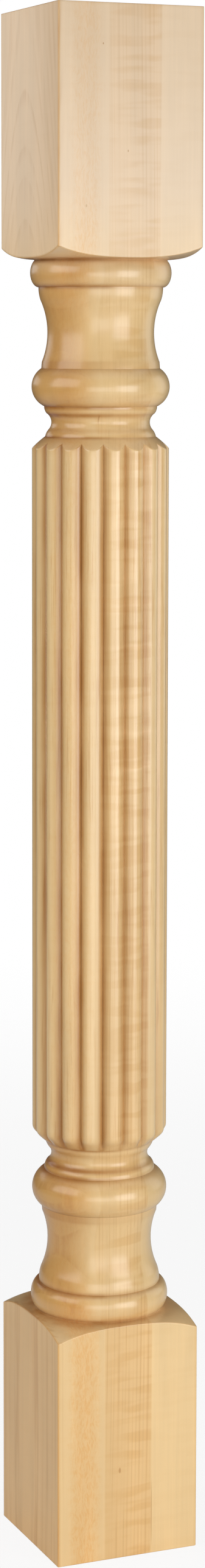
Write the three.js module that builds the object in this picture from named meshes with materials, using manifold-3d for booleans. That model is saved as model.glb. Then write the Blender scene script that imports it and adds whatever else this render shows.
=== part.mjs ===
// A cabinet post turned from one square blank: a square block at each end, beads and coves next to
// each block, and a reeded shaft between them. The upper end mirrors the lower one, except that the
// shaft's head is turned smooth across the reeds, and at its foot the reeds bend in to the neck.
// Millimetres, +Z up. The post stands on its underside with its axis on Z and its front face to -Y.

import * as THREE from "three";
import { mergeVertices } from "three/addons/utils/BufferGeometryUtils.js";
import Module from "manifold-3d";

// Driving dimensions of the blank
const POST_HEIGHT = 901.7;
const BLOCK_WIDTH = 88.9;
const ARRIS_RADIUS = 0.8;

// Driving dimensions of the reeds: round ribs side by side, with sharp grooves between them
const REED_COUNT = 18;
const REED_CROWN_RADIUS = 39.8;
const REED_GROOVE_RADIUS = 36.2;

// Driving dimensions of one turned end, in order from the block to the shaft. Each height is measured
// from the nearer end of the post, and each radius from the axis. A bead is part of an ellipse about
// a centre at its height and radius. Any other moulding is an arc from where the one before it ends.
// Either end of the shaft is part of a ball about a point on the axis. At the head it cuts the reeds,
// and ends just clear of them. At the foot the reeds follow it.
const BLOCK_SHOULDER = { crownHeight: 141.3, crownRadius: 37.5, arcRadius: 50, steps: 4 };
const FOOT_RING_RADIUS = 39;
const COLLAR_BEAD = { height: 148.8, radius: 35.7, reach: 5.1, halfHeight: 8.3, steps: 6 };
const COLLAR_BEAD_STARTS = 141.7;
const COVE_LIP_STARTS = { height: 157, radius: 36 };
const COVE_LIP = { to: 164.2, toRadius: 34.9, bulge: 0.3, steps: 2 };
const MAIN_COVE = { to: 199.8, toRadius: 34.1, bulge: -3.65, steps: 5 };
const MAIN_BEAD = { height: 213.9, radius: 27.4, reach: 12.6, halfHeight: 12.6, steps: 7 };
const MAIN_BEAD_STARTS = 203.4;
const LEDGE_STARTS = 225.3;
const LEDGE = { to: 229.3, toRadius: 31.4, bulge: 0.35, steps: 2 };
const NECK_COVE = { to: 238.8, toRadius: 30.3, bulge: -2.25, steps: 5 };
const NECK_LIP = { to: 242.5, toRadius: 32.1, bulge: 0.25, steps: 1 };
const SHAFT_END = { height: 286.3, radius: 0, reach: 54.2, halfHeight: 54.2, steps: 3 };
const SHAFT_END_STARTS = 242.7;
const SHAFT_HEAD_ENDS = 250.2;
const SHAFT_FOOT_ENDS = 249.5;

// How finely the round surfaces are divided
const TURNED_SIDES = 3 * REED_COUNT;
const REED_CURVE_SEGMENTS = 3;
const ARRIS_CURVE_SEGMENTS = 1;

// Lathe stock that reaches clear of the blank where the tool leaves the blank uncut
const CLEAR = 5;
const WELD_DISTANCE = 1e-3;

// Derived values
const HALF_WIDTH = BLOCK_WIDTH / 2;
const SHOULDER_REACH = HALF_WIDTH * Math.SQRT2 + 1;
const REED_PITCH = (2 * Math.PI) / REED_COUNT;

// The finish: natural maple under a clear satin coat
const maple = new THREE.MeshStandardMaterial({ color: 0xe6c795, roughness: 0.35, metalness: 0 });

const wasm = await Module();
wasm.setup();

// A closed geometry as a solid that can be joined and cut.
function solidFrom(geometry) {
  geometry.deleteAttribute("normal");
  geometry.deleteAttribute("uv");
  const merged = mergeVertices(geometry, WELD_DISTANCE);
  const mesh = new wasm.Mesh({
    numProp: 3,
    vertProperties: merged.attributes.position.array,
    triVerts: new Uint32Array(merged.index.array),
  });
  return new wasm.Manifold(mesh);
}

// A solid's surface as a geometry with flat facets.
function geometryFrom(solid) {
  const mesh = solid.getMesh();
  const geometry = new THREE.BufferGeometry();
  geometry.setAttribute("position", new THREE.BufferAttribute(mesh.vertProperties, 3));
  geometry.setIndex(new THREE.BufferAttribute(mesh.triVerts, 1));
  const facets = geometry.toNonIndexed();
  facets.computeVertexNormals();
  return facets;
}

// Points along a moulding's circular arc, from the point before it to its own height and radius. The
// arc's middle stands proud of the chord by the bulge, away from the axis where that is positive.
// The start itself is left out.
function arcPoints(start, { to, toRadius, bulge, steps }) {
  const end = new THREE.Vector2(toRadius, to);
  const chord = end.clone().sub(start);
  const outward = new THREE.Vector2(chord.y, -chord.x).normalize();
  const halfAngle = 2 * Math.atan((2 * bulge) / chord.length());
  const points = [];
  for (let step = 1; step <= steps; step++) {
    const along = step / steps;
    const turn = halfAngle * (2 * along - 1);
    const share = (Math.sin(turn) / Math.sin(halfAngle) + 1) / 2;
    const rise = (chord.length() / 2) * ((Math.cos(turn) - Math.cos(halfAngle)) / Math.sin(halfAngle));
    points.push(start.clone().addScaledVector(chord, share).addScaledVector(outward, rise));
  }
  return points;
}

// Points along a bead's ellipse from one height to another, both ends included.
function beadPoints(bead, fromHeight, toHeight) {
  const angleAt = (height) => Math.asin((height - bead.height) / bead.halfHeight);
  const first = angleAt(fromHeight);
  const last = angleAt(toHeight);
  const points = [];
  for (let step = 0; step <= bead.steps; step++) {
    const angle = first + ((last - first) * step) / bead.steps;
    const radius = bead.radius + bead.reach * Math.cos(angle);
    points.push(new THREE.Vector2(radius, bead.height + bead.halfHeight * Math.sin(angle)));
  }
  return points;
}

// The block's rounded shoulder, from past its corners up to the foot ring: an arc about a centre
// straight below the crown.
function blockShoulderPoints() {
  const { crownHeight, crownRadius, arcRadius, steps } = BLOCK_SHOULDER;
  const angleAt = (radius) => Math.asin((radius - crownRadius) / arcRadius);
  const outer = angleAt(SHOULDER_REACH);
  const inner = angleAt(FOOT_RING_RADIUS);
  const points = [];
  for (let step = 0; step <= steps; step++) {
    const angle = outer + ((inner - outer) * step) / steps;
    const drop = arcRadius * (1 - Math.cos(angle));
    points.push(new THREE.Vector2(crownRadius + arcRadius * Math.sin(angle), crownHeight - drop));
  }
  return points;
}

// The profile of one turned end, from the block to the neck's lip, as (radius, height) points.
function turnedEndPoints() {
  const points = blockShoulderPoints();
  const addArc = (moulding) => points.push(...arcPoints(points.at(-1), moulding));
  const addBead = (bead, from, to) => points.push(...beadPoints(bead, from, to));
  addBead(COLLAR_BEAD, COLLAR_BEAD_STARTS, COVE_LIP_STARTS.height);
  points.push(new THREE.Vector2(COVE_LIP_STARTS.radius, COVE_LIP_STARTS.height));
  addArc(COVE_LIP);
  addArc(MAIN_COVE);
  addBead(MAIN_BEAD, MAIN_BEAD_STARTS, LEDGE_STARTS);
  addArc(LEDGE);
  addArc(NECK_COVE);
  addArc(NECK_LIP);
  return points;
}

// Everything that the turning tool leaves: a solid of revolution whose profile runs out past the
// blank beside the blocks and past the reeds beside the shaft and its foot.
function turnedEnvelope() {
  const clearRadius = REED_CROWN_RADIUS + CLEAR;
  const blockEnd = [new THREE.Vector2(0, -CLEAR), new THREE.Vector2(SHOULDER_REACH, -CLEAR)];
  const end = [...blockEnd, ...turnedEndPoints()];
  const head = beadPoints(SHAFT_END, SHAFT_END_STARTS, SHAFT_HEAD_ENDS);
  head.push(new THREE.Vector2(clearRadius, SHAFT_HEAD_ENDS));
  const mirrored = (point) => new THREE.Vector2(point.x, POST_HEIGHT - point.y);
  const clearOfFoot = new THREE.Vector2(clearRadius, SHAFT_END_STARTS);
  const profile = [...end, clearOfFoot, ...[...end, ...head].map(mirrored).reverse()];
  const lathe = new THREE.LatheGeometry(profile, TURNED_SIDES);
  return solidFrom(lathe.rotateX(Math.PI / 2));
}

// A straight length of a flat outline, from one height to another.
function straightLength(outline, fromHeight, toHeight, curveSegments) {
  const depth = toHeight - fromHeight;
  const geometry = new THREE.ExtrudeGeometry(outline, { depth, curveSegments, bevelEnabled: false });
  return solidFrom(geometry.translate(0, 0, fromHeight));
}

// The block's square outline with its four arrises eased.
function blockOutline() {
  const outline = new THREE.Shape();
  const centre = HALF_WIDTH - ARRIS_RADIUS;
  for (let quarter = 0; quarter < 4; quarter++) {
    const start = (quarter * Math.PI) / 2;
    const diagonal = start + Math.PI / 4;
    const x = centre * Math.sign(Math.cos(diagonal));
    const y = centre * Math.sign(Math.sin(diagonal));
    outline.absarc(x, y, ARRIS_RADIUS, start, start + Math.PI / 2, false);
  }
  return outline;
}

// The shaft's outline: one arc for each reed, meeting its neighbours in a sharp groove. A groove
// lies on the middle line of the front face, and the arc's radius follows from crown and groove.
function reedOutline() {
  const outline = new THREE.Shape();
  const grooveAlong = REED_GROOVE_RADIUS * Math.cos(REED_PITCH / 2);
  const grooveAcross = REED_GROOVE_RADIUS * Math.sin(REED_PITCH / 2);
  const rise = REED_CROWN_RADIUS - grooveAlong;
  const reedRadius = (rise * rise + grooveAcross * grooveAcross) / (2 * rise);
  const centreRadius = REED_CROWN_RADIUS - reedRadius;
  const halfSweep = Math.atan2(grooveAcross, grooveAlong - centreRadius);
  for (let reed = 0; reed < REED_COUNT; reed++) {
    const angle = -Math.PI / 2 + (reed + 0.5) * REED_PITCH;
    const x = centreRadius * Math.cos(angle);
    const y = centreRadius * Math.sin(angle);
    outline.absarc(x, y, reedRadius, angle - halfSweep, angle + halfSweep, false);
  }
  return outline;
}

// The shaft: the reeded outline ring by ring, drawn in at its foot so that the crowns follow the ball.
// It starts inside the neck and ends inside the upper blank.
function reededShaft() {
  const rings = beadPoints(SHAFT_END, NECK_LIP.to - CLEAR, SHAFT_FOOT_ENDS);
  rings.push(new THREE.Vector2(REED_CROWN_RADIUS, POST_HEIGHT - NECK_LIP.to));
  const steps = rings.length - 1;
  const settings = { depth: steps, steps, curveSegments: REED_CURVE_SEGMENTS, bevelEnabled: false };
  const geometry = new THREE.ExtrudeGeometry(reedOutline(), settings);
  const position = geometry.attributes.position;
  for (let index = 0; index < position.count; index++) {
    const ring = rings[Math.round(position.getZ(index))];
    const share = ring.x / REED_CROWN_RADIUS;
    position.setXYZ(index, position.getX(index) * share, position.getY(index) * share, ring.y);
  }
  return solidFrom(geometry);
}

// The whole post: the blank, reeded along its shaft, cut to the turned profile.
function postSolid() {
  const neckHead = POST_HEIGHT - NECK_LIP.to;
  const lowerBlank = straightLength(blockOutline(), 0, NECK_LIP.to, ARRIS_CURVE_SEGMENTS);
  const upperBlank = straightLength(blockOutline(), neckHead, POST_HEIGHT, ARRIS_CURVE_SEGMENTS);
  const blank = lowerBlank.add(reededShaft()).add(upperBlank);
  return blank.intersect(turnedEnvelope());
}

const post = new THREE.Mesh(geometryFrom(postSolid()), maple);
post.name = "post";

const cabinetPost = new THREE.Group();
cabinetPost.add(post);

export default cabinetPost;
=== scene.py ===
"""Reeded cabinet post in natural maple, with its floor, soft studio light and camera.

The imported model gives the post's height, width and place. The post itself is one closed surface,
worked out on a grid: one direction runs up the profile, the other goes round the axis.
"""

import math

import bpy
import numpy as np
from mathutils import Matrix, Vector


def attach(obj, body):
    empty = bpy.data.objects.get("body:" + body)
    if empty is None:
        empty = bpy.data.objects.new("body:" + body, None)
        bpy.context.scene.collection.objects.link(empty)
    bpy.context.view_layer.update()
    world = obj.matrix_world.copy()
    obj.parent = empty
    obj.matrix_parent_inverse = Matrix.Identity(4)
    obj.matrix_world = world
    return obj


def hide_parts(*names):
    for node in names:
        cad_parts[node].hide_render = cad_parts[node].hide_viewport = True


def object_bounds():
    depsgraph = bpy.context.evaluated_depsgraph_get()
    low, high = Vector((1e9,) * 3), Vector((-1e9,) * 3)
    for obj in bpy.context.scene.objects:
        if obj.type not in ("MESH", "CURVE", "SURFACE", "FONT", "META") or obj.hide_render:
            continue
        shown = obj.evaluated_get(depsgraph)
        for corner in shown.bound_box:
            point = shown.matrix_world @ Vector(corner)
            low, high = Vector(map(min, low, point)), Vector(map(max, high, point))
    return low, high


bl_info = {
    "name": "Reeded Cabinet Post",
    "version": (1, 0, 0),
    "blender": (4, 5, 0),
    "location": "View3D > Sidebar > Cabinet Post",
    "description": "Builds a turned and reeded maple cabinet post on a pale studio floor",
    "category": "Object",
}

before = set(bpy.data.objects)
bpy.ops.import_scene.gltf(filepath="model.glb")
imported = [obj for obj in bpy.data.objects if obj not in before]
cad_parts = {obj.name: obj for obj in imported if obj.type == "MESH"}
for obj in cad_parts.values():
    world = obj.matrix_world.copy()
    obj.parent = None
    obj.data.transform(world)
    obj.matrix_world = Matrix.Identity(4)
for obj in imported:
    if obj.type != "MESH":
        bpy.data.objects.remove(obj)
cad_low, cad_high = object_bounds()

# All shapes are worked out in millimetres and written to the meshes in metres.
MM = 0.001

# Mouldings of one turned end, in order from the block to the shaft. Heights are from the nearer end
# of the post and radii from the axis. A bead is part of an ellipse about a centre at its height and
# radius. Any other moulding is an arc that bulges from its chord, outwards where that is positive.
# Either end of the shaft is part of a ball about a point on the axis. At the head it cuts the reeds,
# and at the foot the reeds follow it.
BLOCK_SHOULDER = {"crown_height": 141.3, "crown_radius": 37.5, "arc_radius": 50.0}
FOOT_RING_RADIUS = 39.0
COLLAR_BEAD = {"height": 148.8, "radius": 35.7, "reach": 5.1, "half_height": 8.3}
COLLAR_BEAD_STARTS = 141.7
COVE_LIP_STARTS = {"height": 157.0, "radius": 36.0}
COVE_LIP = {"to": 164.2, "to_radius": 34.9, "bulge": 0.3, "rows": 8}
MAIN_COVE = {"to": 199.8, "to_radius": 34.1, "bulge": -3.65, "rows": 26}
MAIN_BEAD = {"height": 213.9, "radius": 27.4, "reach": 12.6, "half_height": 12.6}
MAIN_BEAD_STARTS = 203.4
LEDGE_STARTS = 225.3
LEDGE = {"to": 229.3, "to_radius": 31.4, "bulge": 0.35, "rows": 7}
NECK_COVE = {"to": 238.8, "to_radius": 30.3, "bulge": -2.25, "rows": 14}
NECK_LIP = {"to": 242.5, "to_radius": 32.1, "bulge": 0.25, "rows": 5}
SHAFT_END = {"height": 286.3, "radius": 0.0, "reach": 54.2, "half_height": 54.2}
SHAFT_END_STARTS = 242.7

# Length of the bend from the straight reeds into their foot
FOOT_BEND = 2.2

# Where the quirks between the mouldings take painted shade and collected finish, and how wide it lies
QUIRK_HEIGHTS = (141.6, 157.0, 201.6, 225.4, 230.0, 242.6)
QUIRK_WIDTHS = (1.3, 1.2, 2.0, 1.4, 1.4, 0.8)

# Share of a groove's depth at which the painted shade and collected finish are full
GROOVE_FILL = 0.72

# Heights, and distances from the middle of the height, over which the wood or its painted light changes
MIDDLE_HEIGHT = (cad_high.z - cad_low.z) / MM / 2
UPPER_BLOCK = (725.0, 810.0)
LOWER_BLOCK = (165.0, 125.0)
SHAFT_STOPS = (196.0, 206.0)
TURNED_END_STARTS = (196.0, 212.0)
TURNED_END_STOPS = (300.0, 312.0)
BLOCK_STARTS = (290.0, 320.0)
CURLY_SHAFT_STARTS = (400.0, 470.0)
CURLY_SHAFT_STOPS = (650.0, 690.0)

# Places across the front, and in depth, over which the wood or its painted light and shade changes
OUTER_FACE = (-44.2, -43.0)
NEAR_ARRIS = (5.0, -44.0)
TURNED_SIDE = (-32.0, -12.0)

# The blank is glued up from three upright boards: left, middle and right. Joints lean, and rings are
# circles about a line beside each board. The left board's rings narrow up the upper block. Its
# front has a strip of flecks with a ragged edge.
JOINT_WIDTH = 0.7
LEFT_JOINT_LEAN = 0.0012
RIGHT_JOINT_LEAN = 0.0042
RING_CENTRES_ACROSS = (16.0, -130.0, 170.0)
RING_CENTRES_DEPTH = (6.0, 22.0, -10.0)
RING_SPACINGS = (3.4, 2.1, 1.7)
LATE_WOOD_STARTS = (0.25, 0.46, 0.4)
LATE_WOOD_PEAK = 0.88
RING_DRIFT = 6.0
UNEVEN_RINGS = 1.1
FAINTEST_RING = 0.4
ARCHES_FADE = 640.0
ARCHES_HEAD = 920.0
ARCHES_RISE = 26.0
ARCHES_BY_BOARD = (1.0, 0.05, 0.05)
LEFT_BOARD = (1.0, 0.0, 0.0)
BOARD_TONES = (0.25, 1.0, 0.0)
LINE_STRENGTHS = (0.30, 0.38, 0.03)
CURL_STRENGTHS = (0.22, 1.0, 0.18)
CURL_TILT = 0.03
LIGHT_CURL_LEVEL = 0.5
LIGHT_CURL_WIDTH = 0.14
FLECK_STRENGTHS = (0.65, 0.0, 0.0)
FLECK_LEAN = 9.0
FLECK_STRIP_MIDDLE = -27.5
FLECK_STRIP_EDGE = (8.0, 16.0)
FLECK_STRIP_RAG = 9.0
WARM_STRIP_STRENGTHS = (0.36, 0.0, 0.0)

# Noises in the wood: how often each turns in a millimetre across, in depth and upwards, its detail and,
# where that isn't one half, its roughness. The noise over the rings has only one direction.
RING_DRIFT_NOISE = ((0.006, 0.006, 0.0035), 1.0)
UNEVEN_RING_NOISE = (0.30, 1.0)
LINE_BREAK_NOISE = ((0.25, 0.25, 0.014), 2.0)
DARK_CURL_NOISE = ((0.03, 0.02, 0.17), 1.5)
LIGHT_CURL_NOISE = ((0.012, 0.01, 0.075), 0.5)
CURL_PATCH_NOISE = ((0.07, 0.03, 0.018), 1.0)
FLECK_SWIRL_NOISE = ((0.09, 0.09, 0.05), 1.0)
FLECK_NOISE = ((1.1, 0.3, 0.26), 3.0, 0.65)
FLECK_STRIP_NOISE = ((0.10, 0.10, 0.22), 3.0, 0.65)
STREAK_NOISE = ((0.8, 0.8, 0.022), 3.0, 0.6)
STREAK_PATCH_NOISE = ((0.05, 0.05, 0.012), 2.0)
FIBRE_NOISE = ((0.5, 0.5, 0.009), 5.0, 0.65)
TONE_NOISE = ((0.05, 0.05, 0.007), 2.0)
SHADE_AND_FINISH_NOISE = ((0.08, 0.08, 0.016), 2.0)

# What those noises give: each runs from one noise value to another, and from one share to another
LINE_BREAKS = (0.36, 0.62, 0.15, 1.0)
DARK_CURL_CRESTS = (0.45, 0.62, 0.0, 1.0)
CURL_PATCHES = (0.28, 0.50, 0.2, 1.0)
FLECK_STROKES = (0.40, 0.68, 0.0, 1.0)
STREAKS = (0.50, 0.68, 0.0, 0.34)
STREAK_PATCHES = (0.38, 0.62, 0.2, 1.0)
FIBRE_TONES = (0.3, 0.7, 0.982, 1.014)
TONE_PATCHES = (0.3, 0.7, 0.95, 1.04)
SHADE_AND_FINISH_PATCHES = (0.35, 0.65, 0.65, 1.0)

# How some patterns change over a height or across the front: from and to a place, and both shares
LINES_UP = (100.0, 780.0, 0.9, 0.55)
LINES_BY_OUTER_FACE = (-43.5, -40.0, 1.6, 0.10)
BOARD_TONES_UP = (100.0, 700.0, 1.0, 0.55)
CURL_ACROSS = (-12.0, 3.0, 0.45, 1.0)
# Where the painted highlight on the reed crowns fades in from the left and out towards the right
CROWN_HIGHLIGHT_FROM_LEFT = (-30.0, -17.0, 0.3, 1.0)
CROWN_HIGHLIGHT_TO_RIGHT = (-8.0, 6.0, 1.0, 0.55)
# How the painted shade in the grooves weakens towards the right
RECESS_SHADE_ACROSS = (-26.0, 10.0, 1.0, 0.38)

# Shares that the bands of curl keep elsewhere, and on the curly part of the shaft
DARK_CURL_SHARES = (0.34, 0.42)
LIGHT_CURL_SHARES = (0.06, 0.66)

# Shares that patterns keep on the upper block, or on the turned parts
FLECKS_ON_UPPER_BLOCK = 0.55
WARM_STRIP_ON_UPPER_BLOCK = 0.45
FLECKS_ON_TURNED_PARTS = 0.35
BOARD_TONES_ON_TURNED_ENDS = 0.5

# Small brown marks: place, half size and strength of each, and the share of the size at full strength
PIN_MARK_CORE = 0.45
PIN_MARKS = (
    ((-17.4, -44.4, 879.0), (0.5, 2.0, 0.7), 0.7),
    ((-2.1, -44.4, 820.2), (0.5, 2.0, 0.9), 0.6),
    ((-27.5, -44.4, 789.4), (0.7, 2.0, 1.1), 0.35),
    ((-5.2, -44.4, 53.4), (0.95, 2.0, 2.2), 0.55),
    ((15.1, -44.4, 24.0), (0.4, 3.0, 25.0), 0.55),
    ((-12.4, -27.3, 669.4), (0.6, 3.0, 4.0), 0.4),
)

# Share of the surface that the satin coat covers, how strongly the wood under it shines, how both
# bend light, how the fibres and end grain roughen the wood, and the relief of the grain, its depth in
# metres
COAT_WEIGHT = 1.0
WOOD_SHINE = 0.2
REFRACTION = 1.5
FIBRE_ROUGHNESS = 0.10
END_GRAIN_ROUGHNESS = 0.15
LINE_RELIEF = 0.5
RELIEF_STRENGTH = 0.06
RELIEF_DEPTH = 0.0003

# How other places change the wood or paint light and shade on it: they darken where a number is below
# one
MARK_TINT = (0.58, 0.36, 0.15)
END_GRAIN_TINT = (0.93, 0.90, 0.90)
# Painted shade in the quirks and grooves, with the finish that collects there
RECESS_SHADE_TINT = (0.60, 0.42, 0.23)
# Painted shade, a deeper gold, on the left of the turned ends
TURNED_SIDE_SHADE_TINT = (0.84, 0.67, 0.44)
# Painted light, warmer and brighter, on the outer left faces of the blocks
OUTER_FACE_LIGHT_TINT = (1.09, 1.02, 0.91)
# Painted shade on the upper block's left face, towards its near arris
NEAR_ARRIS_SHADE_TINT = (0.86, 0.80, 0.68)
# Painted light on the lower end, and painted shade, darker and warmer, on its outer left face
FOOT_LIGHT_TINT = (1.08, 1.08, 1.09)
FOOT_SIDE_SHADE_TINT = (0.98, 0.94, 0.89)
# Painted highlight on the crowns of the reeds
CROWN_HIGHLIGHT_TINT = (1.10, 1.14, 1.26)
ARRIS_TINT = (0.86, 0.72, 0.50)
CURL_SHEEN_TINT = (1.11, 1.16, 1.28)

# How much of their tints end grain and arrises take, how far a face points up or down where end grain
# starts and where it is full, and how little recess a crown has where its highlight is painted
END_GRAIN_SHARE = 0.75
ARRIS_SHARE = 0.5
END_GRAIN_FACES = (0.30, 0.85)
CROWN_RECESS = 0.10

# How finely the surface is divided, how far rows beside an eased edge stand off it, how fast the darker
# tone of an upright arris falls off, and past which angle an edge is sharp. A reed's columns are a
# multiple of four, so that the four sides of a block share all columns evenly.
COLUMNS_PER_REED = 16
COLUMNS_PER_CORNER = 8
ARRIS_ROWS = 4
FACE_ROWS = 6
SHOULDER_ROWS = 14
COLLAR_BEAD_ROWS = 20
MAIN_BEAD_ROWS = 30
SHAFT_END_ROWS = 8
SHAFT_ROWS = 8
SUPPORT = 0.8
ARRIS_FALL = 0.3
SHARP_ANGLE = math.radians(32)

# The camera, from the vanishing lines and mirrored mouldings of the photograph. Its place is in metres,
# its focus and its centre row are in pixels of the photograph, and its sensor is in millimetres.
IMAGE_HEIGHT = 2576
CAMERA_PLACE = (-0.71306, -1.69683, 0.72478)
CAMERA_TURN = math.radians(-22.838)
CAMERA_DOWN = math.radians(6.676)
CAMERA_ROLL = math.radians(0.108)
CAMERA_FOCUS = 5200.857
CAMERA_CENTRE_ROW = 1137.96
SENSOR_WIDTH = 36.0

# Upright soft lights, in metres, all at one distance from the post. Each has its name, its direction
# in degrees to the right of the camera, its height, and its own width and height.
LIGHT_DISTANCE = 1.95
SOFT_LIGHTS = (
    ("key", 45, 0.45, (1.30, 1.00)),
    ("side", -64, 1.50, (1.90, 1.50)),
    ("front", 0, 0.33, (1.50, 0.75)),
    ("rear_left", -138, 1.00, (0.95, 0.50)),
    ("rear_right", 120, 0.95, (1.05, 1.50)),
)
TOP_LIGHT_HEIGHT = 2.2
TOP_LIGHT_SIZE = (3.0, 3.0)

# Half the floor's width, how much of the background shows through it, and from where to where it
# fades, in metres from the post: where it lights the post, and where it is seen
FLOOR_HALF = 3.0
FLOOR_PALENESS = 0.88
FLOOR_FADE = (0.9, 2.9)
FLOOR_SEEN_FADE = (0.6, 1.8)


class PostSizes(bpy.types.PropertyGroup):
    """Sizes of the turned post."""

    height: bpy.props.FloatProperty(
        name="Height",
        description="Height of the post from its underside to its top end",
        default=cad_high.z - cad_low.z,
        min=0.6,
        unit="LENGTH",
    )
    block_width: bpy.props.FloatProperty(
        name="Block width",
        description="Width of the square blocks at both ends",
        default=cad_high.x - cad_low.x,
        min=0.08,
        unit="LENGTH",
    )
    arris_radius: bpy.props.FloatProperty(
        name="Arris radius",
        description="Radius of the upright arrises of the blocks",
        default=0.0008,
        min=0.0001,
        unit="LENGTH",
    )
    edge_ease: bpy.props.FloatProperty(
        name="Edge ease",
        description="How far the edges of the ends, shoulders and reeds are sanded back",
        default=0.0005,
        min=0.0001,
        unit="LENGTH",
    )
    reed_count: bpy.props.IntProperty(
        name="Reeds",
        description="Number of reeds round the shaft",
        default=18,
        min=8,
    )
    reed_crown_radius: bpy.props.FloatProperty(
        name="Reed crown radius",
        description="Distance from the axis to the crown of a reed",
        default=0.0398,
        unit="LENGTH",
    )
    reed_groove_radius: bpy.props.FloatProperty(
        name="Reed groove radius",
        description="Distance from the axis to the bottom of the groove between two reeds",
        default=0.0362,
        unit="LENGTH",
    )


class MapleFinish(bpy.types.PropertyGroup):
    """Colours and coat of the maple, and the joints of its glued blank."""

    # Paler at the head partly in its own tone and partly as painted sheen
    pale: bpy.props.FloatVectorProperty(
        name="Pale wood",
        description="Tone of the wood at the head of the post",
        default=(0.788, 0.600, 0.397),
        subtype="COLOR",
        min=0.0,
        max=1.0,
    )
    gold: bpy.props.FloatVectorProperty(
        name="Golden wood",
        description="Tone of the wood at the foot of the post",
        default=(0.815, 0.575, 0.282),
        subtype="COLOR",
        min=0.0,
        max=1.0,
    )
    board_tint: bpy.props.FloatVectorProperty(
        name="Darker boards",
        description="How the middle board, and the left one in part, is darker than the right one",
        default=(0.95, 0.88, 0.79),
        subtype="COLOR",
        min=0.0,
        max=1.0,
    )
    grain_tint: bpy.props.FloatVectorProperty(
        name="Grain lines",
        description="How the thin late wood lines darken the wood",
        default=(0.64, 0.39, 0.13),
        subtype="COLOR",
        min=0.0,
        max=1.0,
    )
    curl_tint: bpy.props.FloatVectorProperty(
        name="Curl",
        description="How the bands of curl across the grain darken the wood",
        default=(0.83, 0.67, 0.42),
        subtype="COLOR",
        min=0.0,
        max=1.0,
    )
    fleck_tint: bpy.props.FloatVectorProperty(
        name="Ray flecks",
        description="How the ray flecks beside the near arris darken the wood",
        default=(0.96, 0.78, 0.54),
        subtype="COLOR",
        min=0.0,
        max=1.0,
    )
    wood_roughness: bpy.props.FloatProperty(
        name="Wood roughness",
        description="Roughness of the wood under the coat",
        default=0.46,
        min=0.0,
        max=1.0,
        subtype="FACTOR",
    )
    coat_roughness: bpy.props.FloatProperty(
        name="Coat roughness",
        description="Roughness of the satin coat",
        default=0.23,
        min=0.0,
        max=1.0,
        subtype="FACTOR",
    )
    left_joint: bpy.props.FloatProperty(
        name="Left glue joint",
        description="Where the left and middle boards of the blank meet at the foot, across the front",
        default=-0.0146,
        unit="LENGTH",
    )
    right_joint: bpy.props.FloatProperty(
        name="Right glue joint",
        description="Where the middle and right boards of the blank meet at the foot, across the front",
        default=0.0146,
        unit="LENGTH",
    )


class StudioSettings(bpy.types.PropertyGroup):
    """Floor, lights and background."""

    floor_colour: bpy.props.FloatVectorProperty(
        name="Floor",
        description="Colour of the pale floor",
        default=(0.86, 0.86, 0.86),
        subtype="COLOR",
        min=0.0,
        max=1.0,
    )
    key_power: bpy.props.FloatProperty(
        name="Key light",
        description="Power of the soft light to the right of the camera",
        default=19.6,
        min=0.0,
        unit="POWER",
    )
    side_power: bpy.props.FloatProperty(
        name="Side light",
        description="Power of the broad soft light to the left of the camera",
        default=24.5,
        min=0.0,
        unit="POWER",
    )
    front_power: bpy.props.FloatProperty(
        name="Front light",
        description="Power of the low soft light just behind the camera",
        default=9.4,
        min=0.0,
        unit="POWER",
    )
    rear_left_power: bpy.props.FloatProperty(
        name="Rear left light",
        description="Power of the soft light behind the post on the left",
        default=1.3,
        min=0.0,
        unit="POWER",
    )
    rear_right_power: bpy.props.FloatProperty(
        name="Rear right light",
        description="Power of the soft light behind the post on the right",
        default=4.2,
        min=0.0,
        unit="POWER",
    )
    top_power: bpy.props.FloatProperty(
        name="Top light",
        description="Power of the wide soft light overhead",
        default=16.0,
        min=0.0,
        unit="POWER",
    )
    room_light: bpy.props.FloatProperty(
        name="Room light",
        description="Strength of the even light from all round",
        default=0.05,
        min=0.0,
    )


def block_outline(width, arris_radius, columns):
    """The block's section as complex numbers, from the middle of the front face anticlockwise.

    Each quarter runs along half a face, round the arris in a quarter circle and along half of the
    next face: the run, the turn and the rise each grow from nought to their full size in order.
    """
    half = width / 2
    flat = half - arris_radius
    quarter_columns = columns // 4
    face_columns = (quarter_columns - COLUMNS_PER_CORNER) / 2
    column = np.arange(columns)
    step = column % quarter_columns
    run = flat * np.clip(step / face_columns, 0, 1)
    turn = np.pi / 2 * np.clip((step - face_columns) / COLUMNS_PER_CORNER, 0, 1)
    rise = flat * np.clip((step - face_columns - COLUMNS_PER_CORNER) / face_columns, 0, 1)
    across = run + arris_radius * np.sin(turn)
    along = rise - half + arris_radius * (1 - np.cos(turn))
    return (across + 1j * along) * 1j ** (column // quarter_columns)


def reed_outline(count, crown_radius, groove_radius, columns):
    """The shaft's section as complex numbers, from the groove at the front anticlockwise.

    Each reed is an arc through its crown and its two grooves, so its radius is half the sum of the
    squares of its rise and half width over its rise. Points are even along the arc.
    """
    half_pitch = np.pi / count
    rise = crown_radius - groove_radius * np.cos(half_pitch)
    half_width = groove_radius * np.sin(half_pitch)
    radius = (rise**2 + half_width**2) / (2 * rise)
    centre = crown_radius - radius
    half_sweep = np.arctan2(half_width, radius - rise)
    column = np.arange(columns)
    per_reed = columns // count
    sweep = half_sweep * (2 * (column % per_reed) / per_reed - 1)
    reed_angle = -np.pi / 2 + (2 * (column // per_reed) + 1) * half_pitch
    return (centre + radius * np.exp(1j * sweep)) * np.exp(1j * reed_angle)


def column_angles(outline):
    """Angle of each column round the axis, growing steadily from the front."""
    return np.unwrap(np.angle(outline))


def shoulder_height(radius):
    """Height of the block's rounded shoulder at a radius: a circle about a centre below the crown."""
    arc = BLOCK_SHOULDER["arc_radius"]
    drop = arc - np.sqrt(arc**2 - (radius - BLOCK_SHOULDER["crown_radius"]) ** 2)
    return BLOCK_SHOULDER["crown_height"] - drop


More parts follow.
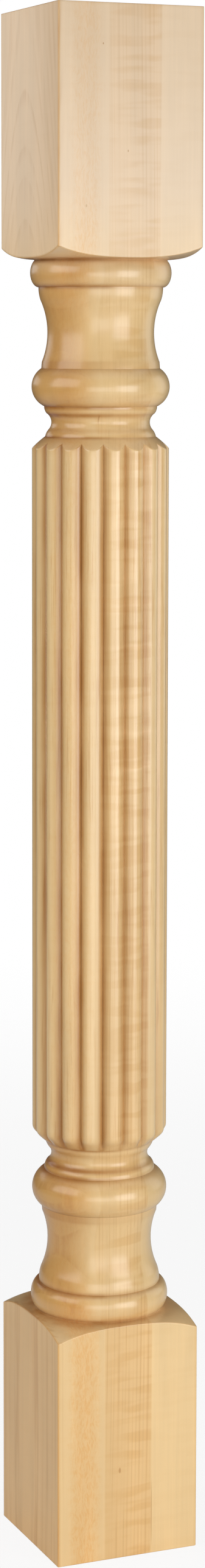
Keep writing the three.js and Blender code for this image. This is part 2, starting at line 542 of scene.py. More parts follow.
def bead_profile(bead, start, end, rows):
    """Radius and height along a bead's ellipse from one angle to another, even in angle."""
    angle = start + (end - start) * np.linspace(0, 1, rows).reshape((-1,) + (1,) * np.ndim(end))
    radius = bead["radius"] + bead["reach"] * np.cos(angle)
    height = bead["height"] + bead["half_height"] * np.sin(angle)
    return radius, height


def bead_angle(bead, height):
    """Angle on a bead's ellipse at which it has a height."""
    return np.arcsin((height - bead["height"]) / bead["half_height"])


def arc_profile(start, moulding):
    """Radius and height along a moulding's arc, from the point before it to its own end.

    The chord is split in the sine of the angle about the arc's centre, and each point stands off the
    chord by the difference of cosines, which is the bulge at the middle and nought at the ends.
    """
    chord = np.array([moulding["to_radius"], moulding["to"]]) - start
    length = np.hypot(*chord)
    outward = np.array([chord[1], -chord[0]]) / length
    half_angle = 2 * np.arctan(2 * moulding["bulge"] / length)
    angle = half_angle * np.linspace(-1, 1, moulding["rows"] + 1)[1:, None]
    share = (np.sin(angle) / np.sin(half_angle) + 1) / 2
    rise = length / 2 * (np.cos(angle) - np.cos(half_angle)) / np.sin(half_angle)
    return (start + chord * share + outward * rise).T


def turned_profile():
    """Radius and height of the round mouldings from the foot of the collar bead to the shaft."""
    parts = []
    collar = [bead_angle(COLLAR_BEAD, h) for h in (COLLAR_BEAD_STARTS, COVE_LIP_STARTS["height"])]
    parts.append(np.array(bead_profile(COLLAR_BEAD, *collar, COLLAR_BEAD_ROWS)))
    parts.append(np.array([[COVE_LIP_STARTS["radius"]], [COVE_LIP_STARTS["height"]]]))
    parts.append(arc_profile(parts[-1][:, -1], COVE_LIP))
    parts.append(arc_profile(parts[-1][:, -1], MAIN_COVE))
    main = [bead_angle(MAIN_BEAD, h) for h in (MAIN_BEAD_STARTS, LEDGE_STARTS)]
    parts.append(np.array(bead_profile(MAIN_BEAD, *main, MAIN_BEAD_ROWS)))
    for moulding in (LEDGE, NECK_COVE, NECK_LIP):
        parts.append(arc_profile(parts[-1][:, -1], moulding))
    return np.concatenate(parts, axis=1)


def eased_edge(before, corner, after):
    """Rows round a sanded edge: a quadratic curve from one face to the other, drawn to the corner."""
    t = np.linspace(0, 1, ARRIS_ROWS + 1)[:, None]
    points = zip(before, corner, after)
    return [(1 - t) ** 2 * a + 2 * t * (1 - t) * b + t**2 * c for a, b, c in points]


def ball_rows(edge_radius, bend):
    """Radius and height of rows on the ball of a shaft's end, and the height where it meets the reeds.

    The ball meets a radius at the angle whose cosine is that radius over the ball's. The last row
    stops short of the reeds by the bend.
    """
    start = bead_angle(SHAFT_END, SHAFT_END_STARTS)
    meet = -np.arccos((edge_radius - SHAFT_END["radius"]) / SHAFT_END["reach"])
    end = meet - bend / SHAFT_END["half_height"]
    edge_height = SHAFT_END["height"] + SHAFT_END["half_height"] * np.sin(meet)
    return *bead_profile(SHAFT_END, start, end, SHAFT_END_ROWS), edge_height


def smooth_head(shaft, bend):
    """Rows of the shaft's head, the height where it meets the reeds, and nought: it has no grooves.

    Every column runs along the ball to where that meets the column's own radius.
    """
    return *ball_rows(shaft, bend), 0.0


def reeded_foot(shaft, bend):
    """Rows of the shaft's foot, the height where the reeds run straight, and one: it has grooves.

    The crowns follow the ball, and every row is the reeded section drawn in by the same share, with
    grooves that run out evenly towards the neck.
    """
    crown = shaft.max()
    radius, height, top = ball_rows(crown, bend)
    one = np.ones_like(shaft)
    run_out = np.linspace(1, 0, SHAFT_END_ROWS)[:, None]
    section = shaft / crown + (1 - shaft / crown) * run_out
    return radius[:, None] * section, height[:, None] * one, top * one, 1.0


def end_rows(sizes, columns, shaft_end, bend):
    """Radius, height, angle, recess and arris of the grid, from one end of the post to mid shaft.

    A block row keeps to the square section, up to where the shoulder's arc cuts it. A turned row has
    one radius all round. A shaft row keeps to the reeded section, as far as the bend into the shaft's
    own end, whose rows a function gives. Between block and shaft the columns glide from the one
    section's angles to the other's. The arris is one on an eased edge and falls to nought beside it.
    """
    ease = sizes.edge_ease / MM
    block = block_outline(sizes.block_width / MM, sizes.arris_radius / MM, columns)
    crown = sizes.reed_crown_radius / MM
    groove = sizes.reed_groove_radius / MM
    reeds = reed_outline(sizes.reed_count, crown, groove, columns)
    side = np.abs(block)
    shaft = np.abs(reeds)
    groove_depth = (crown - shaft) / (crown - groove)
    corner = np.exp(-(((side.max() - side) / ARRIS_FALL) ** 2))
    edge = np.maximum(corner, np.sin(np.pi * np.linspace(0, 1, ARRIS_ROWS + 1))[:, None])
    one = np.ones(columns)
    bands = []

    def add_band(radius, height, arris=0.0, depth=0.0):
        radius, height = np.atleast_2d(radius, height)
        shares = (np.broadcast_to(share, radius.shape) for share in (arris, depth))
        bands.append((radius, height, *shares))

    # Underside and its edge
    add_band(side - ease - SUPPORT, 0 * one)
    add_band(*eased_edge((side - ease, 0 * one), (side, 0 * one), (side, ease * one)), edge)

    # Faces of the block, up to the edge that the shoulder cuts
    arch = shoulder_height(side)
    low = ease + SUPPORT
    share = np.linspace(0, 1, FACE_ROWS)[:, None]
    faces = low + (arch - ease - SUPPORT - low) * share
    add_band(side * np.ones_like(faces), faces, corner)
    inner = side - ease
    add_band(*eased_edge((side, arch - ease), (side, arch), (inner, shoulder_height(inner))), edge)

    # Shoulder, in to the foot ring
    share = np.linspace(0, 1, SHOULDER_ROWS + 1)[1:, None]
    radius = inner + (FOOT_RING_RADIUS - inner) * share
    add_band(radius, shoulder_height(radius))

    # Round mouldings
    radius, height = turned_profile()
    add_band(radius[:, None] * one, height[:, None] * one)

    # End of the shaft, out to where it meets the reeds
    radius, height, edge_height, reeded = shaft_end(shaft, bend)
    add_band(radius, height, depth=groove_depth * reeded)
    straight_from = edge_height + bend
    corner_rows = eased_edge((radius[-1], height[-1]), (shaft, edge_height), (shaft, straight_from))
    add_band(*(part[1:] for part in corner_rows), depth=groove_depth)

    # Reeds, up to just below the middle
    middle = sizes.height / MM / 2
    share = np.linspace(0, 1, SHAFT_ROWS + 1)[:-1, None]
    start = straight_from + SUPPORT
    straight = start + (middle - start) * share
    add_band(shaft * np.ones_like(straight), straight, depth=groove_depth)

    radius, height, arris, depth = (np.concatenate(parts) for parts in zip(*bands))
    glide = np.clip((height - COLLAR_BEAD_STARTS) / (NECK_LIP["to"] - COLLAR_BEAD_STARTS), 0, 1)
    angle = column_angles(block) * (1 - glide) + column_angles(reeds) * glide
    return radius, height, angle, recess_of(height, depth), arris


def recess_of(height, groove_depth):
    """How deep a point lies in a quirk or groove, from nought to one, for painted shade and finish.

    Quirks are bell curves over the height. In a groove it is a smooth step over the first part of the
    depth from the crown.
    """
    offset = height[..., None] - np.array(QUIRK_HEIGHTS)
    quirks = np.exp(-((offset / np.array(QUIRK_WIDTHS)) ** 2)).max(axis=-1)
    filled = np.clip(groove_depth / GROOVE_FILL, 0, 1)
    return np.maximum(quirks, filled**2 * (3 - 2 * filled))


def post_grid(sizes):
    """Points, recess and arris of the whole post: the rows of its foot, then those of its head.

    The head's rows are worked out from the top end down, so they are turned over.
    """
    columns = sizes.reed_count * COLUMNS_PER_REED
    foot = end_rows(sizes, columns, reeded_foot, FOOT_BEND)
    head = end_rows(sizes, columns, smooth_head, sizes.edge_ease / MM)
    head = [part[::-1] for part in head]
    head[1] = sizes.height / MM - head[1]
    radius, height, angle, recess, arris = (np.concatenate(parts) for parts in zip(foot, head))
    points = np.stack([radius * np.cos(angle), radius * np.sin(angle), height], axis=-1)
    if not np.isfinite(points).all():
        raise ValueError("No post can be turned at these sizes.")
    return points * MM, recess, arris


def closed_mesh(name, grid):
    """A mesh of quads over a grid that closes on itself, with a fan to a middle point at each end."""
    rows, columns = grid.shape[:2]
    index = np.arange(rows * columns).reshape(rows, columns)
    beside = np.roll(index, -1, axis=1)
    quads = np.stack([index[:-1], beside[:-1], beside[1:], index[1:]], axis=-1).reshape(-1, 4)
    first = np.full(columns, rows * columns)
    last = first + 1
    foot_fan = np.stack([first, beside[0], index[0]], axis=-1)
    head_fan = np.stack([last, index[-1], beside[-1]], axis=-1)
    ends = np.stack([grid[0].mean(axis=0), grid[-1].mean(axis=0)])
    vertices = np.concatenate([grid.reshape(-1, 3), ends])
    mesh = bpy.data.meshes.new(name)
    mesh.from_pydata(vertices.tolist(), [], quads.tolist() + foot_fan.tolist() + head_fan.tolist())
    mesh.update()
    mesh.shade_smooth()
    mesh.set_sharp_from_angle(angle=SHARP_ANGLE)
    return mesh


def add_node(tree, kind, inputs=None, **settings):
    """A new node with its settings, each input a value or another node's socket."""
    made = tree.nodes.new(kind)
    for name, value in settings.items():
        setattr(made, name, value)
    for name, value in (inputs or {}).items():
        if isinstance(value, bpy.types.NodeSocket):
            tree.links.new(value, made.inputs[name])
        else:
            made.inputs[name].default_value = value
    return made


class Chain:
    """Short ways to add the nodes of one material."""

    def __init__(self, tree):
        self.tree = tree

    def math(self, operation, first, second=0.0, third=0.0):
        """One sum of numbers."""
        made = add_node(
            self.tree, "ShaderNodeMath", {0: first, 1: second, 2: third}, operation=operation
        )
        return made.outputs[0]

    def vector(self, operation, first, second=(0.0, 0.0, 0.0)):
        """One sum of vectors."""
        made = add_node(
            self.tree, "ShaderNodeVectorMath", {0: first, 1: second}, operation=operation
        )
        return made.outputs["Value" if operation == "LENGTH" else "Vector"]

    def ramp(self, value, low, high, to_low=0.0, to_high=1.0):
        """A value carried smoothly from one range to another."""
        made = add_node(
            self.tree,
            "ShaderNodeMapRange",
            {"Value": value, 1: low, 2: high, 3: to_low, 4: to_high},
            interpolation_type="SMOOTHSTEP",
        )
        return made.outputs[0]

    def noise(self, place, scale, detail, roughness=0.5):
        """Soft noise over a place that is first stretched by a scale along each axis."""
        stretched = self.vector("MULTIPLY", place, scale)
        made = add_node(
            self.tree,
            "ShaderNodeTexNoise",
            {"Vector": stretched, "Scale": 1.0, "Detail": detail, "Roughness": roughness},
        )
        return made.outputs["Fac"]

    def mix(self, share, first, second, blend="MIX"):
        """One colour over another."""
        made = add_node(
            self.tree,
            "ShaderNodeMix",
            {"Factor": share},
            data_type="RGBA",
            blend_type=blend,
            clamp_factor=True,
        )
        for name, value in (("A_Color", first), ("B_Color", second)):
            socket = next(s for s in made.inputs if s.identifier == name)
            if isinstance(value, bpy.types.NodeSocket):
                self.tree.links.new(value, socket)
            else:
                socket.default_value = (*value, 1.0)
        return next(s for s in made.outputs if s.identifier == "Result_Color")

    def noise_along(self, value, scale, detail):
        """Soft noise over one number that is first stretched by a scale."""
        made = add_node(
            self.tree,
            "ShaderNodeTexNoise",
            {"W": self.math("MULTIPLY", value, scale), "Scale": 1.0, "Detail": detail},
            noise_dimensions="1D",
        )
        return made.outputs["Fac"]

    def chance(self, value):
        """A number between nought and one that is drawn anew for each whole value."""
        made = add_node(
            self.tree, "ShaderNodeTexWhiteNoise", {"W": value}, noise_dimensions="1D"
        )
        return made.outputs["Value"]

    def join(self, across, depth, height):
        """A place from its three parts."""
        made = add_node(self.tree, "ShaderNodeCombineXYZ", {0: across, 1: depth, 2: height})
        return made.outputs[0]

    def times(self, first, *others):
        """The product of two numbers or more."""
        for other in others:
            first = self.math("MULTIPLY", first, other)
        return first

    def between(self, share, low, high):
        """The number that lies a share of the way from one to another."""
        return self.math("MULTIPLY_ADD", share, high - low, low)

    def stain(self, colour, share, tint):
        """A colour multiplied by a tint, as far as a share says."""
        return self.mix(share, colour, tint, "MULTIPLY")

    def by_board(self, boards, values):
        """A number for each board: left, middle and right."""
        middle, right = boards
        first = self.between(middle, values[0], values[1])
        return self.math("MULTIPLY_ADD", right, values[2] - values[1], first)


def board_shares(wood, axes, finish):
    """Nought or one past each glue joint: for the middle board and beyond, and for the right board.

    A joint is an upright plane that leans a little: its place across the front grows with height.
    """
    shares = []
    for joint, lean in ((finish.left_joint, LEFT_JOINT_LEAN), (finish.right_joint, RIGHT_JOINT_LEAN)):
        plane = wood.math("MULTIPLY_ADD", axes[2], lean, joint / MM)
        past = wood.math("SUBTRACT", axes[0], plane)
        shares.append(wood.ramp(past, -JOINT_WIDTH, JOINT_WIDTH))
    return shares


def from_middle(wood, axes):
    """Distance of a point from the middle of the post's height."""
    return wood.math("ABSOLUTE", wood.math("SUBTRACT", axes[2], MIDDLE_HEIGHT))


def on_shaft(wood, axes):
    """One on the reeded shaft, and nought on both ends of the post."""
    return wood.ramp(from_middle(wood, axes), *SHAFT_STOPS, 1.0, 0.0)


def turned_ends(wood, axes):
    """One on the beads and coves of both ends, and nought on the shaft and blocks."""
    distance = from_middle(wood, axes)
    past_shaft = wood.ramp(distance, *TURNED_END_STARTS)
    return wood.times(past_shaft, wood.ramp(distance, *TURNED_END_STOPS, 1.0, 0.0))


def turned_side_lines_and_shade(wood, axes):
    """Share of the left of the turned ends: painted shade of deeper gold, and growth lines where the
    tool cut across the grain.
    """
    return wood.times(turned_ends(wood, axes), wood.ramp(axes[0], *TURNED_SIDE, 1.0, 0.0))


def growth_lines(wood, place, axes, boards):
    """Thin dark lines of late wood, from nought to one.

    Rings are circles about an upright line beside each board. On the left board they widen towards
    the foot of the upper block, which draws nested arches on its outer face. The ring count is the
    distance over the ring spacing, made uneven by noise. Late wood is the last part of each ring,
    with a strength drawn for each ring and broken up along the grain.
    """
    across, depth, height = axes
    drift = wood.noise(place, *RING_DRIFT_NOISE)
    taper = wood.ramp(height, ARCHES_FADE, ARCHES_HEAD, 0.0, ARCHES_RISE)
    from_across = wood.math("SUBTRACT", across, wood.by_board(boards, RING_CENTRES_ACROSS))
    from_depth = wood.math("SUBTRACT", depth, wood.by_board(boards, RING_CENTRES_DEPTH))
    squares = wood.math("MULTIPLY", from_across, from_across)
    squares = wood.math("MULTIPLY_ADD", from_depth, from_depth, squares)
    reach = wood.math("SQRT", squares)
    reach = wood.math("MULTIPLY_ADD", drift, RING_DRIFT, reach)
    reach = wood.math("MULTIPLY_ADD", taper, wood.by_board(boards, ARCHES_BY_BOARD), reach)
    uneven = wood.noise_along(reach, *UNEVEN_RING_NOISE)
    ring = wood.math("DIVIDE", reach, wood.by_board(boards, RING_SPACINGS))
    ring = wood.math("MULTIPLY_ADD", uneven, UNEVEN_RINGS, ring)
    within = wood.math("FRACT", ring)
    rise = wood.ramp(within, wood.by_board(boards, LATE_WOOD_STARTS), LATE_WOOD_PEAK)
    fall = wood.ramp(within, LATE_WOOD_PEAK, 1.0, 1.0, 0.0)
    bold = wood.between(wood.chance(wood.math("FLOOR", ring)), FAINTEST_RING, 1.0)
    broken = wood.ramp(wood.noise(place, *LINE_BREAK_NOISE), *LINE_BREAKS)
    strength = wood.times(wood.by_board(boards, LINE_STRENGTHS), wood.ramp(height, *LINES_UP))
    by_face = wood.ramp(across, *LINES_BY_OUTER_FACE)
    by_face = wood.math("MAXIMUM", by_face, turned_side_lines_and_shade(wood, axes))
    by_face = wood.math("SUBTRACT", by_face, 1.0)
    fade = wood.math("MULTIPLY_ADD", wood.by_board(boards, LEFT_BOARD), by_face, 1.0)
    return wood.times(rise, fall, bold, broken, strength, fade)


def curl_bands(wood, place, axes, boards):
    """Dark and light bands across the grain where the fibres wave, each from nought to one.

    Dark bands are the crests of a noise that is drawn out across the grain. Light ones follow the
    middle level of a slower noise. Both lie in patches and are strongest on the shaft.
    """
    across, depth, height = axes
    slanted = wood.join(across, depth, wood.math("MULTIPLY_ADD", across, -CURL_TILT, height))
    dark = wood.ramp(wood.noise(slanted, *DARK_CURL_NOISE), *DARK_CURL_CRESTS)
    level = wood.math("SUBTRACT", wood.noise(slanted, *LIGHT_CURL_NOISE), LIGHT_CURL_LEVEL)
    light = wood.ramp(wood.math("ABSOLUTE", level), LIGHT_CURL_WIDTH, 0.0)
    patches = wood.ramp(wood.noise(place, *CURL_PATCH_NOISE), *CURL_PATCHES)
    strength = wood.times(
        patches, wood.ramp(across, *CURL_ACROSS), wood.by_board(boards, CURL_STRENGTHS)
    )
    above = wood.ramp(height, *CURLY_SHAFT_STARTS)
    curly = wood.times(above, wood.ramp(height, *CURLY_SHAFT_STOPS, 1.0, 0.0))
    dark = wood.times(dark, strength, wood.between(curly, *DARK_CURL_SHARES))
    light = wood.times(light, strength, wood.between(curly, *LIGHT_CURL_SHARES))
    return dark, light


def ray_flecks(wood, place, axes, boards):
    """Short strokes in a mottled upright strip of the left board, and the strip, from nought to one.

    The strip lies about a line down the front, with a ragged edge. Strokes are the crests of a noise
    that is drawn out upwards and leans with a slow swirl.
    """
    across, depth, height = axes
    swirl = wood.noise(place, *FLECK_SWIRL_NOISE)
    lean = wood.math("MULTIPLY_ADD", swirl, FLECK_LEAN, across)
    strokes = wood.noise(wood.join(lean, depth, height), *FLECK_NOISE)
    strokes = wood.ramp(strokes, *FLECK_STROKES)
    ragged = wood.noise(place, *FLECK_STRIP_NOISE)
    offset = wood.math("ABSOLUTE", wood.math("SUBTRACT", across, FLECK_STRIP_MIDDLE))
    offset = wood.math("MULTIPLY_ADD", ragged, FLECK_STRIP_RAG, offset)
    on_blocks = wood.ramp(from_middle(wood, axes), *BLOCK_STARTS, FLECKS_ON_TURNED_PARTS, 1.0)
    strip = wood.times(wood.ramp(offset, *FLECK_STRIP_EDGE, 1.0, 0.0), on_blocks)
    faint = wood.ramp(height, *UPPER_BLOCK, 1.0, FLECKS_ON_UPPER_BLOCK)
    return wood.times(strokes, strip, faint, wood.by_board(boards, FLECK_STRENGTHS)), strip


def shaft_streaks(wood, place, axes):
    """Short brown streaks along the grain where the reeds were cut, from nought to one."""
    streaks = wood.ramp(wood.noise(place, *STREAK_NOISE), *STREAKS)
    patches = wood.ramp(wood.noise(place, *STREAK_PATCH_NOISE), *STREAK_PATCHES)
    return wood.times(streaks, patches, on_shaft(wood, axes))


def pin_marks(wood, place):
    """Small brown marks in the wood, from nought to one: soft ellipsoids at their own places."""
    total = 0.0
    for centre, size, strength in PIN_MARKS:
        offset = wood.vector("SUBTRACT", place, centre)
        shrunk = wood.vector("DIVIDE", offset, size)
        spot = wood.ramp(wood.vector("LENGTH", shrunk), PIN_MARK_CORE, 1.0, strength, 0.0)
        total = wood.math("MAXIMUM", total, spot)
    return total


def bare_wood(wood, place, axes, finish, boards, fibre, lines):
    """Colour of the maple: golden, and pale on the upper block, which is partly its own tone and partly
    painted sheen.

    Soft patches and fibres vary it. Boards, curl, flecks, streaks, growth lines and marks each multiply
    it by their own tint, and so do painted light and shade on the faces of the blocks and on the left
    of the turned ends.
    """
    across, depth, height = axes
    curl, sheen = curl_bands(wood, place, axes, boards)
    flecks, strip = ray_flecks(wood, place, axes, boards)
    upper = wood.ramp(height, *UPPER_BLOCK)
    foot = wood.ramp(height, *LOWER_BLOCK)
    outer = wood.ramp(across, *OUTER_FACE, 1.0, 0.0)
    inner = wood.math("SUBTRACT", 1.0, outer)
    near = wood.ramp(depth, *NEAR_ARRIS)
    warm = wood.times(
        strip,
        wood.by_board(boards, WARM_STRIP_STRENGTHS),
        wood.ramp(height, *UPPER_BLOCK, 1.0, WARM_STRIP_ON_UPPER_BLOCK),
    )
    tone = wood.times(
        wood.by_board(boards, BOARD_TONES),
        wood.ramp(height, *BOARD_TONES_UP),
        wood.ramp(turned_ends(wood, axes), 0.0, 1.0, 1.0, BOARD_TONES_ON_TURNED_ENDS),
    )
    # Pale upper block: its own tone, and painted sheen in part
    colour = wood.mix(upper, finish.gold, finish.pale)
    colour = wood.stain(colour, 1.0, wood.ramp(wood.noise(place, *TONE_NOISE), *TONE_PATCHES))
    colour = wood.stain(colour, warm, finish.fleck_tint)
    colour = wood.stain(colour, tone, finish.board_tint)
    colour = wood.stain(colour, 1.0, wood.ramp(fibre, *FIBRE_TONES))
    # Painted shade on the left of the turned ends
    colour = wood.stain(colour, turned_side_lines_and_shade(wood, axes), TURNED_SIDE_SHADE_TINT)
    # Painted light on the outer left faces
    colour = wood.stain(colour, outer, OUTER_FACE_LIGHT_TINT)
    # Painted shade towards the near arris of the upper block's left face
    colour = wood.stain(colour, wood.times(outer, near, upper), NEAR_ARRIS_SHADE_TINT)
    # Painted shade on the lower block's outer face, painted light on the rest of the lower end
    colour = wood.stain(colour, wood.times(outer, foot), FOOT_SIDE_SHADE_TINT)
    colour = wood.stain(colour, wood.times(inner, foot), FOOT_LIGHT_TINT)
    colour = wood.stain(colour, curl, finish.curl_tint)
    colour = wood.stain(colour, sheen, CURL_SHEEN_TINT)
    colour = wood.stain(colour, flecks, finish.fleck_tint)
    colour = wood.stain(colour, shaft_streaks(wood, place, axes), finish.grain_tint)
    colour = wood.stain(colour, lines, finish.grain_tint)
    return wood.stain(colour, pin_marks(wood, place), MARK_TINT)


def finished_wood(wood, place, axes, colour, end_grain):
    """Colour of the wood under its finish.

    End grain darkens it. Painted shade darkens the quirks and grooves, more on the left, with the
    finish that collects there, and edges and arrises are darker. The crowns of the reeds are paler: a
    painted highlight.
    """
    across = axes[0]
    recess = add_node(wood.tree, "ShaderNodeAttribute", attribute_name="recess").outputs["Fac"]
    arris = add_node(wood.tree, "ShaderNodeAttribute", attribute_name="arris").outputs["Fac"]
    # Painted highlight: paler crowns of the reeds
    crown = wood.times(
        wood.ramp(recess, CROWN_RECESS, 0.0),
        on_shaft(wood, axes),
        wood.ramp(across, *CROWN_HIGHLIGHT_FROM_LEFT),
        wood.ramp(across, *CROWN_HIGHLIGHT_TO_RIGHT),
    )
    uneven = wood.ramp(wood.noise(place, *SHADE_AND_FINISH_NOISE), *SHADE_AND_FINISH_PATCHES)
    # Painted shade in quirks and grooves, stronger on the left, with collected finish
    shade_and_finish = wood.times(recess, uneven, wood.ramp(across, *RECESS_SHADE_ACROSS))
    colour = wood.stain(colour, wood.times(end_grain, END_GRAIN_SHARE), END_GRAIN_TINT)
    colour = wood.stain(colour, crown, CROWN_HIGHLIGHT_TINT)
    colour = wood.stain(colour, shade_and_finish, RECESS_SHADE_TINT)
    return wood.stain(colour, wood.times(arris, ARRIS_SHARE), ARRIS_TINT)


def maple_material(finish):
    """Natural maple under a satin coat, on a blank glued up from three upright boards.

    Every pattern is solid, in millimetres of the post's own frame. End grain lies on what faces up or
    down, and is rougher. Fibres and growth lines give a fine relief.
    """
    material = bpy.data.materials.new("maple_satin")
    material.use_nodes = True
    tree = material.node_tree
    tree.nodes.clear()
    wood = Chain(tree)

    coordinates = add_node(tree, "ShaderNodeTexCoord")
    place = wood.vector("MULTIPLY", coordinates.outputs["Object"], (1 / MM, 1 / MM, 1 / MM))
    axes = tuple(add_node(tree, "ShaderNodeSeparateXYZ", {0: place}).outputs)
    boards = board_shares(wood, axes, finish)
    lines = growth_lines(wood, place, axes, boards)
    fibre = wood.noise(place, *FIBRE_NOISE)
    normal = add_node(tree, "ShaderNodeNewGeometry").outputs["Normal"]
    upward = add_node(tree, "ShaderNodeSeparateXYZ", {0: normal}).outputs[2]
    end_grain = wood.ramp(wood.math("ABSOLUTE", upward), *END_GRAIN_FACES)
    colour = bare_wood(wood, place, axes, finish, boards, fibre, lines)
    colour = finished_wood(wood, place, axes, colour, end_grain)

    smoothest = finish.wood_roughness - FIBRE_ROUGHNESS / 2
    roughness = wood.math("MULTIPLY_ADD", fibre, FIBRE_ROUGHNESS, smoothest)
    roughness = wood.math("MULTIPLY_ADD", end_grain, END_GRAIN_ROUGHNESS, roughness)
    relief = wood.math("MULTIPLY_ADD", lines, -LINE_RELIEF, fibre)
    bump = add_node(
        tree,
        "ShaderNodeBump",
        {"Height": relief, "Strength": RELIEF_STRENGTH, "Distance": RELIEF_DEPTH},
    )
    shader = add_node(
        tree,
        "ShaderNodeBsdfPrincipled",
        {
            "Base Color": colour,
            "Roughness": roughness,
            "IOR": REFRACTION,
            "Specular IOR Level": WOOD_SHINE,
            "Coat Weight": COAT_WEIGHT,
            "Coat Roughness": finish.coat_roughness,
            "Coat IOR": REFRACTION,
            "Normal": bump.outputs["Normal"],
        },
    )
    add_node(tree, "ShaderNodeOutputMaterial", {"Surface": shader.outputs["BSDF"]})
    return material


def floor_material(colour):
    """A pale matt floor that fades into the white background away from the post.

    Seen directly, it lets most of the background through, so that it looks as pale as in the studio,
    and it ends sooner.
    """
    material = bpy.data.materials.new("pale_floor")
    material.use_nodes = True
    tree = material.node_tree
    tree.nodes.clear()
    chain = Chain(tree)
    coordinates = add_node(tree, "ShaderNodeTexCoord")
    distance = chain.vector("LENGTH", coordinates.outputs["Object"])
    fade = chain.ramp(distance, *FLOOR_FADE)
    seen = add_node(tree, "ShaderNodeLightPath").outputs["Is Camera Ray"]
    paleness = chain.ramp(distance, *FLOOR_SEEN_FADE, FLOOR_PALENESS, 1.0)
    share = chain.math("MAXIMUM", fade, chain.math("MULTIPLY", seen, paleness))
    matt = add_node(tree, "ShaderNodeBsdfDiffuse", {"Color": (*colour, 1.0)})
    clear = add_node(tree, "ShaderNodeBsdfTransparent")
    surface = add_node(
        tree, "ShaderNodeMixShader", {0: share, 1: matt.outputs[0], 2: clear.outputs[0]}
    )
    add_node(tree, "ShaderNodeOutputMaterial", {"Surface": surface.outputs[0]})
    return material


def soft_light(name, size, power):
    """A rectangular soft light that isn't seen itself and shines straight down from the origin."""
    data = bpy.data.lights.new(name, "AREA")
    data.shape = "RECTANGLE"
    data.size, data.size_y = size
    data.energy = power
    light = bpy.data.objects.new(name, data)
    light.visible_camera = False
    bpy.context.scene.collection.objects.link(light)
    return light


def stand_upright(light, direction, height):
    """Moves a light out to one side of the post and turns it to face the post's axis.

    The direction is measured in degrees to the right of the camera, seen from above.
    """
    turn = CAMERA_TURN + math.radians(direction)
    place = Vector((math.sin(turn), -math.cos(turn), 0)) * LIGHT_DISTANCE
    light.location = place + Vector((0, 0, height))
    light.rotation_euler = (math.pi / 2, 0, turn)


def studio_world(strength):
    """An even white background that lights the post less brightly than it looks."""
    world = bpy.data.worlds.new("studio")
    world.use_nodes = True
    tree = world.node_tree
    tree.nodes.clear()
    path = add_node(tree, "ShaderNodeLightPath")
    lit = add_node(tree, "ShaderNodeBackground", {"Color": (1, 1, 1, 1), "Strength": strength})
    seen = add_node(tree, "ShaderNodeBackground", {"Color": (1, 1, 1, 1), "Strength": 1.0})
    surface = add_node(
        tree,
        "ShaderNodeMixShader",
        {0: path.outputs["Is Camera Ray"], 1: lit.outputs[0], 2: seen.outputs[0]},
    )
    add_node(tree, "ShaderNodeOutputWorld", {"Surface": surface.outputs[0]})
    bpy.context.scene.world = world


def photo_camera():
    """The camera where the photograph was taken from, with its framing."""
    data = bpy.data.cameras.new("photo_camera")
    data.sensor_width = SENSOR_WIDTH
    data.lens = CAMERA_FOCUS / IMAGE_HEIGHT * SENSOR_WIDTH
    data.shift_y = CAMERA_CENTRE_ROW / IMAGE_HEIGHT - 0.5
    camera = bpy.data.objects.new("photo_camera", data)
    camera.matrix_world = (
        Matrix.Translation(CAMERA_PLACE)
        @ Matrix.Rotation(CAMERA_TURN, 4, "Z")
        @ Matrix.Rotation(math.pi / 2 - CAMERA_DOWN, 4, "X")
        @ Matrix.Rotation(CAMERA_ROLL, 4, "Z")
    )
    bpy.context.scene.collection.objects.link(camera)
    bpy.context.scene.camera = camera


class CABINET_OT_turn_post(bpy.types.Operator):
    """Builds the turned and reeded maple post"""

    bl_idname = "cabinet.turn_post"
    bl_label = "Turn Post"

    def execute(self, context):
        grid, recess, arris = post_grid(context.scene.cabinet_post_sizes)
        mesh = closed_mesh("turned_post", grid)
        for name, weights in (("recess", recess), ("arris", arris)):
            values = np.zeros(len(mesh.vertices), np.float32)
            values[: weights.size] = weights.ravel()
            mesh.attributes.new(name, "FLOAT", "POINT").data.foreach_set("value", values)
        mesh.materials.append(maple_material(context.scene.cabinet_post_finish))
        post = bpy.data.objects.new("turned_post", mesh)
        context.scene.collection.objects.link(post)
        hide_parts("post")
        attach(post, "root")
        return {"FINISHED"}


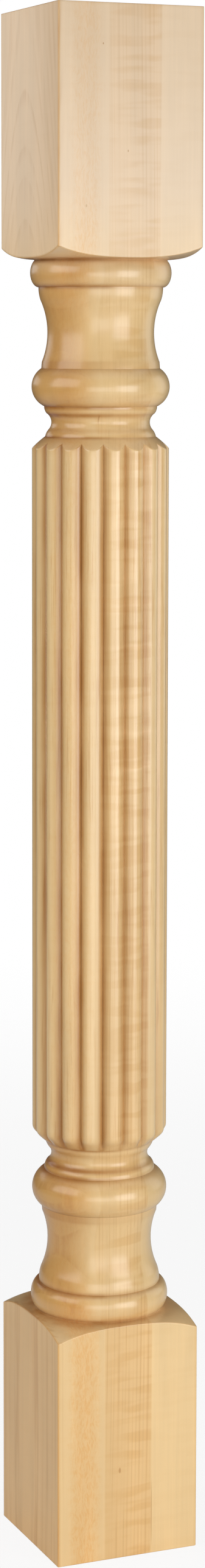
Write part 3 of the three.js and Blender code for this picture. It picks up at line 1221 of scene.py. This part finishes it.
class CABINET_OT_set_stage(bpy.types.Operator):
    """Sets the floor, the soft lights, the background and the camera"""

    bl_idname = "cabinet.set_stage"
    bl_label = "Set Stage"

    def execute(self, context):
        studio = context.scene.cabinet_post_studio
        half = FLOOR_HALF
        corners = [(-half, -half, 0), (half, -half, 0), (half, half, 0), (-half, half, 0)]
        mesh = bpy.data.meshes.new("studio_floor")
        mesh.from_pydata(corners, [], [(0, 1, 2, 3)])
        mesh.materials.append(floor_material(studio.floor_colour))
        floor = bpy.data.objects.new("studio_floor", mesh)
        context.scene.collection.objects.link(floor)
        for name, direction, height, size in SOFT_LIGHTS:
            light = soft_light(name, size, getattr(studio, name + "_power"))
            stand_upright(light, direction, height)
        top = soft_light("top", TOP_LIGHT_SIZE, studio.top_power)
        top.location = (0.0, 0.0, TOP_LIGHT_HEIGHT)
        studio_world(studio.room_light)
        photo_camera()
        context.scene.view_settings.view_transform = "Standard"
        return {"FINISHED"}


class CABINET_PT_post(bpy.types.Panel):
    """Sizes, finish and stage of the cabinet post"""

    bl_idname = "CABINET_PT_post"
    bl_label = "Cabinet Post"
    bl_space_type = "VIEW_3D"
    bl_region_type = "UI"
    bl_category = "Cabinet Post"

    def draw(self, context):
        groups = (
            (context.scene.cabinet_post_sizes, "cabinet.turn_post"),
            (context.scene.cabinet_post_finish, None),
            (context.scene.cabinet_post_studio, "cabinet.set_stage"),
        )
        for group, operator in groups:
            box = self.layout.box()
            for name in group.__annotations__:
                box.prop(group, name)
            if operator:
                box.operator(operator)


CLASSES = (
    PostSizes,
    MapleFinish,
    StudioSettings,
    CABINET_OT_turn_post,
    CABINET_OT_set_stage,
    CABINET_PT_post,
)


def register():
    for made in CLASSES:
        bpy.utils.register_class(made)
    bpy.types.Scene.cabinet_post_sizes = bpy.props.PointerProperty(type=PostSizes)
    bpy.types.Scene.cabinet_post_finish = bpy.props.PointerProperty(type=MapleFinish)
    bpy.types.Scene.cabinet_post_studio = bpy.props.PointerProperty(type=StudioSettings)


def unregister():
    del bpy.types.Scene.cabinet_post_studio
    del bpy.types.Scene.cabinet_post_finish
    del bpy.types.Scene.cabinet_post_sizes
    for made in reversed(CLASSES):
        bpy.utils.unregister_class(made)


def main():
    register()
    bpy.ops.cabinet.turn_post()
    bpy.ops.cabinet.set_stage()
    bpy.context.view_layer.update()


if __name__ == "__main__":
    main()
